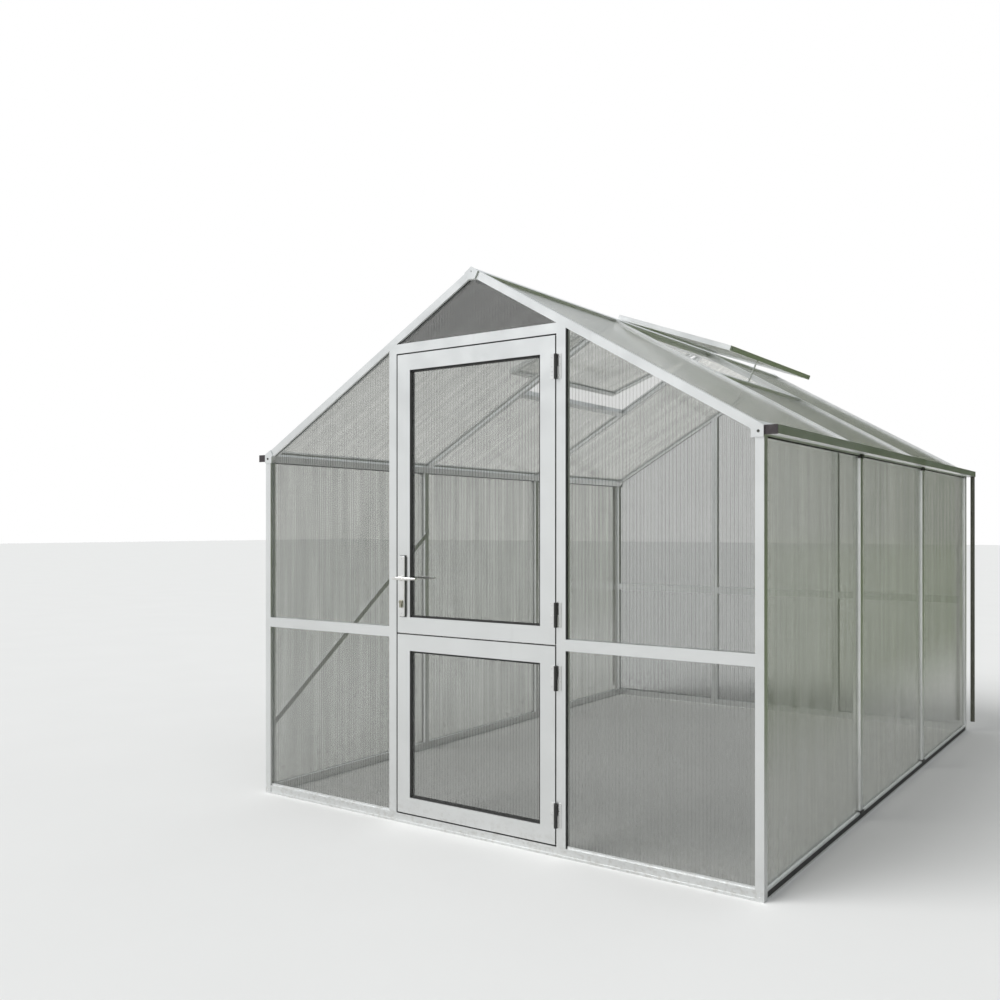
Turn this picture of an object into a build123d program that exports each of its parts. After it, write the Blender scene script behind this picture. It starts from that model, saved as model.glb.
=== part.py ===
from build123d import *
import math
import os

# A hobby greenhouse: extruded aluminium frame, twin-wall sheets, a two-leaf stable door in the front gable.
# Millimetres. +X runs right along the front gable, +Y to the back, +Z up from the ground.

# Overall sizes, from outer face to outer face of the corner posts
house_width = 2506.0
bay_pitch = 1180.0
bay_count = 3
eave_height = 1645.0
roof_pitch = 30.15

# Frame sections
post_width = 33.0
frame_depth = 32.0
door_post_width = 42.0
header_height = 42.0
mid_rail_height = 45.0
base_height = 40.0
base_lip = 9.0
base_recess = 4.0
rafter_height = 33.0
beam_underside = 1608.5
beam_joint_inset = 36.0
ridge_joint_inset = 35.0
chamber_wall = 2.5

# Sheets and the grooves that hold them
sheet = 10.0
groove_play = 0.3
glass_setback = 10.0
groove_depth = 9.0
sheet_bite = 8.0
sheet_play = 0.5

# Door opening and leaves
door_opening = 826.0
mid_rail_underside = 810.0
leaf_split = 828.0
leaf_gap = 6.0
leaf_frame = 70.0

# Hinges
hinge_height = 98.0
hinge_rise = 118.0
hinge_drop = 124.0
barrel_radius = 7.5
barrel_round = 1.5
barrel_standoff = 8.5
hinge_axis_offset = 2.0
pin_radius = 3.5
pin_play = 0.05
flap_width = 20.0
flap_thickness = 3.0
flap_start = 6.0
knuckle_gap = 0.5
pin_short = 4.0
barrel_cap = 3.0
arm_root = 4.0
arm_clearance = 1.0

# Door furniture
plate_width = 33.0
plate_height = 265.0
plate_thickness = 12.0
plate_inset = 16.0
plate_centre = 1035.5
plate_corner = 7.0
plate_round = 2.5
lever_height = 1071.0
lever_reach = 50.0
lever_length = 112.0
lever_tail = 17.0
lever_thickness = 14.0
lever_depth = 12.0
lever_round = 5.0
lever_taper = 0.65
lever_waist = 48.0
neck_radius = 7.0
spindle_radius = 4.0
spindle_clearance = 2.0
rose_radius = 11.0
rose_height = 6.0
lock_height = 967.0
lock_radius = 8.5
lock_tail = 24.0
lock_tail_width = 10.0
lock_stand = 9.0
lock_clearance = 1.0
lock_play = 0.2

# Gutter and downpipe
gutter_reach = 48.0
gutter_floor = 1613.5
gutter_bead = 5.0
gutter_wall = 2.0
gutter_overhang = 30.0
end_cap_thickness = 3.0
end_cap_drop = 2.0
pipe_diameter = 25.0
pipe_wall = 1.5
pipe_foot = 60.0

# Small plastic and metal end pieces
post_cap_height = 12.0
post_cap_lap = 8.0
post_cap_stand = 5.0
post_cap_overlap = 8.0
post_cap_round = 1.5
corner_plate = 6.0
eave_plate_width = 46.0
eave_plate_drop = 4.5
ridge_plate_crest = 3.0

# Roof windows
vent_bay = 1
vent_length = 610.0
vent_opening = 10.0
vent_rail_width = 30.0
vent_rail_height = 24.0
vent_lift = 5.0
vent_side_gap = 4.0
cross_bar_width = 32.0
stay_radius = 4.0
stay_offset = -186.0

# Wall brace
brace_start = 340.0
brace_end = 1265.0
brace_width = 25.0
brace_thickness = 3.0
brace_clearance = 2.0

# Derived places
lever_projection = lever_reach + lever_depth / 2
house_length = bay_count * bay_pitch + frame_depth
front = -(house_length + lever_projection + gutter_overhang) / 2 + lever_projection
back = front + house_length
half_width = house_width / 2
pitch = math.radians(roof_pitch)
ridge_height = eave_height + half_width * math.tan(pitch)
groove_width = sheet + 2 * groove_play
mid_rail_top = mid_rail_underside + mid_rail_height
inner_post_face = half_width - post_width
inner_jamb = door_opening / 2
outer_jamb = inner_jamb + door_post_width
under_rafter = rafter_height / math.cos(pitch)
header_top = ridge_height - inner_jamb * math.tan(pitch) - under_rafter
header_underside = header_top - header_height
groove_top = glass_setback - groove_play
groove_mid = groove_top + groove_width / 2
groove_low = groove_top + groove_width

os.makedirs("parts", exist_ok=True)


def roofline(x):
    """Height of the frame's outer roof surface at x."""
    return ridge_height - abs(x) * math.tan(pitch)


def save(name, *solids):
    """Writes one node as one STEP file."""
    shape = solids[0] if len(solids) == 1 else Compound(children=list(solids))
    export_step(shape, f"parts/{name}.step")


def outline(points):
    """Face in the XY plane through the points given."""
    return make_face(Polyline(*points, close=True))


def box(x0, x1, y0, y1, z0, z1):
    """Plain block between two corners."""
    return Pos((x0 + x1) / 2, (y0 + y1) / 2, (z0 + z1) / 2) * Box(abs(x1 - x0), abs(y1 - y0), abs(z1 - z0))


def through(face, y0, y1):
    """Face drawn in X and Z, extruded from y0 to y1."""
    return extrude(Plane.XZ.offset(-y0) * face, amount=y0 - y1)


def gable_prism(points, y0, y1):
    """Outline given in X and Z, extruded from y0 to y1."""
    return through(outline(points), y0, y1)


def mirrored(shape):
    """Copy of a shape on the other side of the ridge."""
    return mirror(shape, about=Plane.YZ)


def section(width, depth, left=False, right=False, chamber=True):
    """Frame section: x is across, y runs from the outer face inwards. Grooves hold a sheet at its setback."""
    face = Pos(0, depth / 2) * Rectangle(width, depth)
    low = chamber_wall - width / 2
    high = width / 2 - chamber_wall
    if left:
        face -= Pos((groove_depth - width) / 2, groove_mid) * Rectangle(groove_depth, groove_width)
        low += groove_depth
    if right:
        face -= Pos((width - groove_depth) / 2, groove_mid) * Rectangle(groove_depth, groove_width)
        high -= groove_depth
    if chamber:
        face -= Pos((low + high) / 2, depth / 2) * Rectangle(high - low, depth - 2 * chamber_wall)
    return face


def upright(face, x, y, z0, z1, turn=0.0):
    """Section stood upright with its outer face at y, looking along -Y before it is turned about Z."""
    return Pos(x, y, z0) * Rot(0, 0, turn) * extrude(face, amount=z1 - z0)


def rail(face, x0, x1, y, z):
    """Section laid along X from x0 to x1. Its left groove faces up and its outer face is at y."""
    lay = Plane(origin=(x0, y, z), x_dir=(0, 0, -1), z_dir=(1, 0, 0))
    return extrude(lay * face, amount=x1 - x0)


# Base rails

def base_section(depth):
    """Base rail section: two lips on the outer face and a groove in the top."""
    face = section(base_height, depth, left=True, chamber=False)
    face -= Pos(0, base_recess / 2) * Rectangle(base_height - 2 * base_lip, base_recess)
    return face


front_base = rail(base_section(frame_depth), -inner_post_face, inner_post_face, front, base_height / 2)
rear_base = mirror(rail(base_section(frame_depth), -inner_post_face, inner_post_face, -back, base_height / 2),
                   about=Plane.XZ)
save("front_base_rail", front_base)
save("rear_base_rail", rear_base)

wall_run = house_length - 2 * frame_depth
rear_inner = (half_width, back - frame_depth, base_height / 2)
lay_right = Plane(origin=rear_inner, x_dir=(0, 0, -1), z_dir=(0, -1, 0))
right_base = extrude(lay_right * mirror(base_section(post_width), about=Plane.XZ), amount=wall_run)
save("side_base_rails", right_base, mirrored(right_base))

# Corner posts

corner_face = Pos(-post_width / 2, frame_depth / 2) * Rectangle(post_width, frame_depth)
corner_face -= Pos(-post_width + groove_depth / 2, groove_mid) * Rectangle(groove_depth, groove_width)
corner_face -= Pos(-groove_mid, frame_depth - groove_depth / 2) * Rectangle(groove_width, groove_depth)
front_corner = Pos(half_width, front, 0) * extrude(corner_face, amount=beam_underside)
rear_corner = Pos(half_width, back, 0) * extrude(mirror(corner_face, about=Plane.XZ), amount=beam_underside)
save("corner_posts", front_corner, mirrored(front_corner), rear_corner, mirrored(rear_corner))

# Side posts stand on the base rails and carry the eave beams

bay_lines = [front + frame_depth / 2 + i * bay_pitch for i in range(1, bay_count)]
bay_edges = [front + frame_depth / 2 + i * bay_pitch for i in range(bay_count + 1)]
post_face = section(frame_depth, post_width, left=True, right=True)
side_posts = []
for line in bay_lines:
    post = upright(post_face, half_width, line, base_height, beam_underside, turn=90)
    side_posts += [post, mirrored(post)]
save("side_posts", *side_posts)

# Eave beams: their lower groove takes the wall sheets and the sloping one the roof sheets

cos_p = math.cos(pitch)
sin_p = math.sin(pitch)


def beam_points():
    """Eave beam outline in X and Z on the right side."""
    joint_x = half_width - beam_joint_inset
    joint_z = roofline(joint_x)
    return [(half_width, beam_underside), (inner_post_face, beam_underside),
            (joint_x - rafter_height * sin_p, joint_z - rafter_height * cos_p),
            (joint_x, joint_z), (half_width, eave_height)]


def ridge_points():
    """Ridge beam outline in X and Z."""
    joint_z = roofline(ridge_joint_inset)
    low_x = ridge_joint_inset - rafter_height * sin_p
    low_z = joint_z - rafter_height * cos_p
    return [(0, ridge_height), (ridge_joint_inset, joint_z), (low_x, low_z), (-low_x, low_z),
            (-ridge_joint_inset, joint_z)]


def slope_plane(y, x=0.0):
    """Plane on the right slope with its x along the fall and its z out of the roof."""
    return Plane(origin=(x, y, roofline(x)), x_dir=(cos_p, 0, -sin_p), z_dir=(sin_p, 0, cos_p))


slope_ridge = ridge_joint_inset / cos_p
slope_eave = (half_width - beam_joint_inset) / cos_p


def on_slope(run0, run1, y0, y1, top, bottom):
    """Block in the right slope: runs go down the fall from the ridge line, top and bottom are depths."""
    block = Box(run1 - run0, y1 - y0, bottom - top)
    return slope_plane((y0 + y1) / 2) * Pos((run0 + run1) / 2, 0, -(top + bottom) / 2) * block


groove_start = front + frame_depth - groove_depth
groove_end = back - frame_depth + groove_depth
beam = gable_prism(beam_points(), front, back)
beam -= box(half_width - groove_low, half_width - groove_top, groove_start, groove_end, beam_underside,
            beam_underside + groove_depth)
beam -= on_slope(slope_eave, slope_eave + groove_depth, groove_start, groove_end, groove_top, groove_low)
save("eave_beams", beam, mirrored(beam))

# Caps that wrap the outer ends of the side posts, over the base rail's lip and up to the gutter

def post_cap(line, low, high):
    """Cap wrapped round the outer side of the post at a line."""
    post_side = frame_depth / 2
    reach = post_side + post_cap_overlap
    cap = box(half_width - groove_top, half_width + post_cap_stand, line - reach, line + reach, low, high)
    cap = fillet(cap.edges().filter_by(Axis.Z).group_by(Axis.X)[-1], post_cap_round)
    return cap - box(inner_post_face, half_width, line - post_side, line + post_side, low, high)


caps = []
for line in bay_lines:
    foot_low = base_height - post_cap_lap
    foot_cap = post_cap(line, foot_low, foot_low + post_cap_height) - right_base
    head_cap = post_cap(line, beam_underside - post_cap_height, gutter_floor) - beam
    for cap in (foot_cap, head_cap):
        caps += [cap, mirrored(cap)]
save("side_post_caps", *caps)

# Gutters hang on the outer face of the eave beams

gutter_edge = half_width + gutter_reach
gutter_inside = gutter_edge - gutter_wall
gutter_bottom = gutter_floor + gutter_wall
bead_edge = gutter_edge - gutter_bead
bead_low = eave_height - gutter_wall
pipe_x = gutter_inside - pipe_diameter / 2
pipe_y = back + gutter_overhang - end_cap_thickness - pipe_diameter / 2
pipe_bore = pipe_diameter / 2 - pipe_wall
gutter_outline = [(half_width, gutter_floor), (gutter_edge, gutter_floor), (gutter_edge, eave_height),
                  (bead_edge, eave_height), (bead_edge, bead_low), (gutter_inside, bead_low),
                  (gutter_inside, gutter_bottom), (half_width, gutter_bottom)]
gutter = gable_prism(gutter_outline, front + end_cap_thickness, back + gutter_overhang - end_cap_thickness)
gutter -= Pos(pipe_x, pipe_y, gutter_floor) * extrude(Circle(pipe_bore), amount=gutter_wall)
save("gutters", gutter, mirrored(gutter))

cap_outline = [(half_width, gutter_floor - end_cap_drop), (gutter_edge, gutter_floor - end_cap_drop),
               (gutter_edge, eave_height), (half_width, eave_height)]
front_cap = gable_prism(cap_outline, front, front + end_cap_thickness)
rear_cap = gable_prism(cap_outline, back + gutter_overhang - end_cap_thickness, back + gutter_overhang)
save("gutter_end_caps", front_cap, mirrored(front_cap), rear_cap, mirrored(rear_cap))

pipe_ring = Circle(pipe_diameter / 2) - Circle(pipe_bore)
pipe = Pos(pipe_x, pipe_y, pipe_foot) * extrude(pipe_ring, amount=gutter_floor - pipe_foot)
save("downpipe", pipe, mirrored(pipe))

# Rafters and roof bars run between the ridge beam and the eave beams

def bar(y0, y1, groove_sides, gable_side=0):
    """Rafter on the right slope between two Y faces, with a sheet groove on the sides named."""
    solid = on_slope(slope_ridge, slope_eave, y0, y1, 0, rafter_height)
    for side in groove_sides:
        edge = y1 if side > 0 else y0
        solid -= on_slope(slope_ridge, slope_eave, min(edge, edge - side * groove_depth),
                          max(edge, edge - side * groove_depth), groove_top, groove_low)
    if gable_side:
        outer = y0 if gable_side < 0 else y1
        a = outer - gable_side * groove_top
        b = outer - gable_side * groove_low
        solid -= on_slope(slope_ridge, slope_eave, min(a, b), max(a, b), rafter_height - groove_depth,
                          rafter_height)
    return solid


front_rafter = bar(front, front + frame_depth, (1,), gable_side=-1)
rear_rafter = bar(back - frame_depth, back, (-1,), gable_side=1)
save("gable_rafters", front_rafter, mirrored(front_rafter), rear_rafter, mirrored(rear_rafter))
roof_bars = []
for line in bay_lines:
    roof_bar = bar(line - frame_depth / 2, line + frame_depth / 2, (1, -1))
    roof_bars += [roof_bar, mirrored(roof_bar)]
save("roof_bars", *roof_bars)

ridge = gable_prism(ridge_points(), front, back)
ridge_groove = on_slope(slope_ridge - groove_depth, slope_ridge, groove_start, groove_end, groove_top,
                        groove_low)
ridge -= ridge_groove
ridge -= mirrored(ridge_groove)
save("ridge_beam", ridge)

# Cover plates over the beam ends

def eave_plate_points():
    """Corner plate outline in X and Z: it follows the eave and hangs square below the beam."""
    low = beam_underside - eave_plate_drop
    inner = half_width - eave_plate_width
    under_inner = roofline(inner) - under_rafter
    joint_low, joint, eave = beam_points()[2:]
    return [(half_width, low), (inner, low), (inner, under_inner), joint_low, joint, eave]


def ridge_plate_points():
    """Ridge plate outline in X and Z: the ridge beam's own, with a peak that stands over it."""
    return [(0, ridge_height + ridge_plate_crest)] + ridge_points()[1:]


def end_plates(points, name):
    """Plates over both ends of a beam, on the outer faces of the gables."""
    front_plate = gable_prism(points, front - corner_plate, front)
    rear_plate = gable_prism(points, back, back + corner_plate)
    plates = [front_plate, rear_plate]
    if min(p[0] for p in points) > 0:
        plates += [mirrored(front_plate), mirrored(rear_plate)]
    save(name, *plates)


end_plates(eave_plate_points(), "eave_corner_plates")
end_plates(ridge_plate_points(), "ridge_end_plates")

# Gable framing

def under_roof(y0, y1, lift=0.0):
    """Everything below the rafters' undersides, raised by a lift square to the slope."""
    drop = under_rafter - lift / cos_p
    eave = roofline(half_width) - drop
    return gable_prism([(0, ridge_height - drop), (half_width, eave), (half_width, 0), (-half_width, 0),
                        (-half_width, eave)], y0, y1)


jamb_mid = (inner_jamb + outer_jamb) / 2
jamb_top = roofline(inner_jamb)
jamb_face = section(door_post_width, frame_depth, left=True, right=True)
front_jamb = upright(jamb_face, jamb_mid, front, base_height, jamb_top)
front_jamb = front_jamb & under_roof(front, front + frame_depth)
rear_jamb = mirror(upright(jamb_face, jamb_mid, -back, base_height, jamb_top), about=Plane.XZ)
rear_jamb = rear_jamb & under_roof(back - frame_depth, back)
save("door_posts", front_jamb, mirrored(front_jamb))
save("rear_uprights", rear_jamb, mirrored(rear_jamb))

header = rail(section(header_height, frame_depth, left=True), -inner_jamb, inner_jamb, front,
              header_underside + header_height / 2)
header = header & under_roof(front, front + frame_depth)
save("door_header", header)

mid_face = section(mid_rail_height, frame_depth, left=True, right=True)
mid_z = mid_rail_underside + mid_rail_height / 2
front_mid = rail(mid_face, outer_jamb, inner_post_face, front, mid_z)
save("front_mid_rails", front_mid, mirrored(front_mid))
rear_mid = mirror(rail(mid_face, outer_jamb, inner_post_face, -back, mid_z), about=Plane.XZ)
rear_centre = mirror(rail(mid_face, -inner_jamb, inner_jamb, -back, mid_z), about=Plane.XZ)
save("rear_mid_rails", rear_mid, mirrored(rear_mid), rear_centre)

# Gable sheets

def gable_sheet(x0, x1, z0, z1, y0):
    """Sheet in a gable between the frame's inner faces, biting into the grooves and cut to the roof."""
    panel = box(x0 - sheet_bite, x1 + sheet_bite, y0, y0 + sheet, z0 - sheet_bite, z1)
    panel = panel & under_roof(y0, y0 + sheet, lift=sheet_bite)
    for points in (ridge_points(), beam_points(), [(-x, z) for x, z in beam_points()]):
        clear = offset(outline(points), amount=sheet_play, kind=Kind.INTERSECTION)
        panel -= through(clear, y0, y0 + sheet)
    return panel


def sheet_pair(x0, x1, y0):
    """Lower and upper sheet of one strip of a gable, under and over the middle rail."""
    lower = gable_sheet(x0, x1, base_height, mid_rail_underside + sheet_bite, y0)
    upper = gable_sheet(x0, x1, mid_rail_top, ridge_height, y0)
    return [lower, upper]


front_sheet_y = front + glass_setback
front_pair = sheet_pair(outer_jamb, inner_post_face, front_sheet_y)
save("front_sheets", *front_pair, *[mirrored(s) for s in front_pair])
save("peak_sheet", gable_sheet(-inner_jamb, inner_jamb, header_top, ridge_height, front_sheet_y))
rear_sheet_y = back - glass_setback - sheet
rear_pair = sheet_pair(outer_jamb, inner_post_face, rear_sheet_y)
rear_centre_pair = sheet_pair(-inner_jamb, inner_jamb, rear_sheet_y)
save("rear_sheets", *rear_pair, *[mirrored(s) for s in rear_pair], *rear_centre_pair)

# Wall and roof sheets, one to a bay

wall_sheets = []
for start, stop in zip(bay_edges, bay_edges[1:]):
    y0 = start + frame_depth / 2 - sheet_bite
    y1 = stop - frame_depth / 2 + sheet_bite
    wall_sheets.append(box(half_width - glass_setback - sheet, half_width - glass_setback, y0, y1,
                           base_height - sheet_bite, beam_underside + sheet_bite))
save("right_wall_sheets", *wall_sheets)
save("left_wall_sheets", *[mirrored(s) for s in wall_sheets])

cross_run = slope_ridge + vent_length
roof_sheets = []
for i, (start, stop) in enumerate(zip(bay_edges, bay_edges[1:])):
    y0 = start + frame_depth / 2 - sheet_bite
    y1 = stop - frame_depth / 2 + sheet_bite
    top_run = slope_ridge - sheet_bite if i != vent_bay else cross_run + cross_bar_width - sheet_bite
    foot_run = slope_eave + sheet_bite
    roof_sheets.append(on_slope(top_run, foot_run, y0, y1, glass_setback, glass_setback + sheet))
save("right_roof_sheets", *roof_sheets)
save("left_roof_sheets", *[mirrored(s) for s in roof_sheets])

# Roof windows, held open by a stay at the foot

vent_y0 = bay_edges[vent_bay] + frame_depth / 2
vent_y1 = bay_edges[vent_bay + 1] - frame_depth / 2
cross_foot = cross_run + cross_bar_width
cross_bar = on_slope(cross_run, cross_foot, vent_y0, vent_y1, 0, rafter_height)
cross_bar -= on_slope(cross_foot - groove_depth, cross_foot, vent_y0, vent_y1, groove_top, groove_low)
save("vent_cross_bars", cross_bar, mirrored(cross_bar))

vent_hinge = slope_plane((vent_y0 + vent_y1) / 2, ridge_joint_inset)
vent_place = vent_hinge * Rot(0, -vent_opening, 0) * Pos(0, 0, vent_lift)
vent_span = vent_y1 - vent_y0 + frame_depth - 2 * vent_side_gap
vent_fall = vent_length + vent_rail_width


def vent_block(run0, run1, across0, across1, low, high):
    """Block in the open roof window: runs down from its hinge line, across is measured from its middle."""
    block = Box(run1 - run0, across1 - across0, high - low)
    return vent_place * Pos((run0 + run1) / 2, (across0 + across1) / 2, (low + high) / 2) * block


side_low = vent_span / 2 - vent_rail_width
mid_height = vent_rail_height / 2
slot_low = mid_height - groove_width / 2
slot_high = mid_height + groove_width / 2
vent_sides = []
vent_ends = []
for side in (-1, 1):
    a, b = sorted((side * side_low, side * vent_span / 2))
    rail_block = vent_block(0, vent_fall, a, b, 0, vent_rail_height)
    inner = side * side_low
    g0, g1 = sorted((inner, inner + side * groove_depth))
    rail_block -= vent_block(0, vent_fall, g0, g1, slot_low, slot_high)
    vent_sides += [rail_block, mirrored(rail_block)]
for run0, run1, inner in ((0, vent_rail_width, vent_rail_width), (vent_length, vent_fall, vent_length)):
    end_block = vent_block(run0, run1, -side_low, side_low, 0, vent_rail_height)
    step = -groove_depth if inner == vent_rail_width else groove_depth
    g0, g1 = sorted((inner, inner + step))
    end_block -= vent_block(g0, g1, -side_low, side_low, slot_low, slot_high)
    vent_ends += [end_block, mirrored(end_block)]
save("vent_side_rails", *vent_sides)
save("vent_end_rails", *vent_ends)
vent_pane = vent_block(vent_rail_width - sheet_bite, vent_length + sheet_bite, -side_low - sheet_bite,
                       side_low + sheet_bite, mid_height - sheet / 2, mid_height + sheet / 2)
save("vent_sheets", vent_pane, mirrored(vent_pane))

stay_top = (vent_place * Pos(vent_length + vent_rail_width / 2, stay_offset, mid_height)).position
stay_base = (slope_plane(stay_top.Y) * Pos(cross_run + cross_bar_width / 2, 0, -mid_height)).position
stay_line = stay_top - stay_base
stay = extrude(Plane(origin=stay_base, z_dir=stay_line) * Circle(stay_radius), amount=stay_line.length)
stay = stay - cross_bar - vent_ends[-2]
save("vent_stays", stay, mirrored(stay))

# Brace on the inner side of the left wall, from the front corner post to the next post

brace_y0 = front + glass_setback + sheet + brace_clearance
brace_y1 = bay_lines[0] + frame_depth / 2
brace_half = brace_width / 2 / math.cos(math.atan2(brace_end - brace_start, brace_y1 - brace_y0))
brace_outline = [(brace_y0, brace_start - brace_half), (brace_y1, brace_end - brace_half),
                 (brace_y1, brace_end + brace_half), (brace_y0, brace_start + brace_half)]
brace = extrude(Plane.YZ.offset(-inner_post_face) * outline(brace_outline), amount=brace_thickness)
save("wall_brace", brace)

# Door leaves

leaf_half = inner_jamb - leaf_gap
stile_face = section(leaf_frame, frame_depth, left=True)
furniture_x = -leaf_half + plate_inset + plate_width / 2


def lock_face(play=0.0):
    """Profile cylinder outline: a round barrel with a tail below it, drawn about the lock's centre."""
    barrel = Pos(furniture_x, lock_height) * Circle(lock_radius + play)
    tail = Rectangle(lock_tail_width + 2 * play, lock_tail + 2 * play)
    return barrel + Pos(furniture_x, lock_height - lock_tail / 2) * tail


def leaf(name, z0, z1, lock):
    """One door leaf: stiles, rails between them and a sheet in their grooves."""
    hinge_stile = upright(stile_face, leaf_half - leaf_frame / 2, front, z0, z1)
    lock_stile = mirrored(hinge_stile)
    if lock:
        spindle_hole = Pos(furniture_x, lever_height) * Circle(spindle_radius + spindle_clearance)
        lock_stile -= through(spindle_hole, front, front + frame_depth)
        lock_stile -= through(lock_face(lock_clearance), front, front + frame_depth)
    save(f"{name}_stiles", hinge_stile, lock_stile)
    inner = leaf_half - leaf_frame
    bottom = rail(section(leaf_frame, frame_depth, left=True), -inner, inner, front, z0 + leaf_frame / 2)
    top = rail(section(leaf_frame, frame_depth, right=True), -inner, inner, front, z1 - leaf_frame / 2)
    save(f"{name}_rails", bottom, top)
    reach = inner + sheet_bite
    low = z0 + leaf_frame - sheet_bite
    high = z1 - leaf_frame + sheet_bite
    save(f"{name}_sheet", box(-reach, reach, front_sheet_y, front_sheet_y + sheet, low, high))


lower_z = (base_height + leaf_gap, leaf_split - leaf_gap / 2)
upper_z = (leaf_split + leaf_gap / 2, header_underside - leaf_gap)
leaf("lower_leaf", *lower_z, lock=False)
leaf("upper_leaf", *upper_z, lock=True)

# Lift-off hinges: the post half carries the pin and the leaf half drops over it

axis_x = inner_jamb + hinge_axis_offset
axis_y = front - barrel_standoff
half_hinge = (hinge_height - knuckle_gap) / 2


def barrel(low, outer_end):
    """Half of the barrel from a height upwards, rounded at its outer end: 0 is the foot, -1 the head."""
    half = Pos(axis_x, axis_y, low) * extrude(Circle(barrel_radius), amount=half_hinge)
    return fillet(half.edges().group_by(Axis.Z)[outer_end], barrel_round)


def hinge_halves(centre):
    """Post half and leaf half of one hinge: the flaps run its full height, the barrels half of it each."""
    foot = centre - hinge_height / 2
    head = centre + hinge_height / 2
    flap_face = front - flap_thickness
    post_half = barrel(foot, 0) + box(axis_x + flap_start, axis_x + flap_width, flap_face, front, foot, head)
    post_half += box(axis_x, axis_x + barrel_radius, axis_y, front, foot + barrel_round, foot + half_hinge)
    post_half += Pos(axis_x, axis_y, foot) * extrude(Circle(pin_radius), amount=hinge_height - pin_short)
    low = centre + knuckle_gap / 2
    arm_face = front - arm_clearance
    drop_half = barrel(low, -1) + box(leaf_half - flap_width, leaf_half, flap_face, front, foot, head)
    drop_half += box(leaf_half - arm_root, axis_x, axis_y, arm_face, low, head - barrel_round)
    socket = Circle(pin_radius + pin_play)
    drop_half -= Pos(axis_x, axis_y, low) * extrude(socket, amount=half_hinge - barrel_cap)
    return post_half, drop_half


frame_halves = []
for name, (z0, z1) in (("lower_leaf", lower_z), ("upper_leaf", upper_z)):
    leaf_halves = []
    for centre in (z0 + hinge_rise, z1 - hinge_drop):
        fixed, moving = hinge_halves(centre)
        frame_halves.append(fixed)
        leaf_halves.append(moving)
    save(f"{name}_hinges", *leaf_halves)
save("door_post_hinges", *frame_halves)

# Door furniture on the upper leaf
plate_face = Pos(furniture_x, plate_centre) * RectangleRounded(plate_width, plate_height, plate_corner)
plate_face -= Pos(furniture_x, lever_height) * Circle(spindle_radius + pin_play)
plate_face -= lock_face(lock_play)
outer_plate = through(plate_face, front - plate_thickness, front)
outer_plate = fillet(outer_plate.faces().sort_by(Axis.Y)[0].outer_wire().edges(), plate_round)
inner_plate = mirror(outer_plate, about=Plane.XZ.offset(-front - frame_depth / 2))
save("handle_plates", outer_plate, inner_plate)
save("lock_cylinder", through(lock_face(), front - plate_thickness - lock_stand,
                              front + frame_depth + plate_thickness + lock_stand))


def lever(face_y, side):
    """Lever standing off a plate face: a rose, a round neck and a tapered grip that points to the hinges."""
    mid = face_y + side * (lever_reach - plate_thickness)
    seat = face_y + side * knuckle_gap
    hub = Pos(furniture_x, lever_height)
    rose = through(hub * Circle(rose_radius), *sorted((seat, seat + side * rose_height)))
    neck = through(hub * Circle(neck_radius), *sorted((seat, mid)))
    stations = []
    for along, share in ((-lever_tail, lever_taper), (0, 1), (lever_waist, 1), (lever_length, lever_taper)):
        place = Plane(origin=(furniture_x + along, mid, lever_height), x_dir=(0, 1, 0), z_dir=(1, 0, 0))
        face = RectangleRounded(lever_depth * share, lever_thickness * share, lever_round * share)
        stations.append(place * face)
    return rose + neck + loft(stations, ruled=True)


spindle = through(Pos(furniture_x, lever_height) * Circle(spindle_radius), front - lever_reach,
                  front + frame_depth + lever_reach)
outer_lever = lever(front - plate_thickness, -1)
inner_lever = lever(front + frame_depth + plate_thickness, 1)
save("door_handle", spindle + outer_lever + inner_lever)
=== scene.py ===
"""Looks of a hobby greenhouse: finishes, twin-wall sheets, small fittings and a plain studio."""
import logging
import math
from abc import ABC, abstractmethod
from dataclasses import dataclass, field
from enum import Enum
from typing import Iterable, Sequence

import bmesh
import bpy
from mathutils import Matrix, Vector


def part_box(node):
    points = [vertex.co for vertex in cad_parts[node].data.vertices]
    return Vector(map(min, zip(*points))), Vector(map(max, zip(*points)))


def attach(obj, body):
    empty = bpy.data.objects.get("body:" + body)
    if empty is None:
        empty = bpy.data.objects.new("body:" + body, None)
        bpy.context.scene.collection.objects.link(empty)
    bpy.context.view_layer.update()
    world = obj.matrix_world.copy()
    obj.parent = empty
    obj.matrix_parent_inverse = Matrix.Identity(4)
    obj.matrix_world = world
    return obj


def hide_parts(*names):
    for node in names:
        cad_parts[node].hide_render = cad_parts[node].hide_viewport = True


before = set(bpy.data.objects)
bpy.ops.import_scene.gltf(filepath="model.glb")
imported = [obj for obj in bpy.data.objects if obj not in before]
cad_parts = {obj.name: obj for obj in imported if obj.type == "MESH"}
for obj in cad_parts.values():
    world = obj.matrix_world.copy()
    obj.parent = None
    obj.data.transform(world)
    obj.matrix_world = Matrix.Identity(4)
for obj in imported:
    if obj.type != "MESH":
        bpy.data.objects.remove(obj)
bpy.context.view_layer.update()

log = logging.getLogger("greenhouse")
MM = 0.001
Colour = tuple[float, float, float, float]
BMesh = bmesh.types.BMesh
Material = bpy.types.Material
Node = bpy.types.Node
Socket = bpy.types.NodeSocket


class Body(Enum):
    """Bodies of the frame that pieces ride on."""

    HOUSE = "house"
    UPPER_LEAF = "upper_leaf"
    LOWER_LEAF = "lower_leaf"


LEAVES = (Body.UPPER_LEAF, Body.LOWER_LEAF)


class Slot(Enum):
    """Material slots of the record that new pieces use."""

    COATED = "coated_aluminium"
    MILL = "mill_aluminium"
    SHEET = "twin_wall_sheet"
    GREY_PANEL = "grey_panel"
    BLACK_PLASTIC = "black_plastic"


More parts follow.
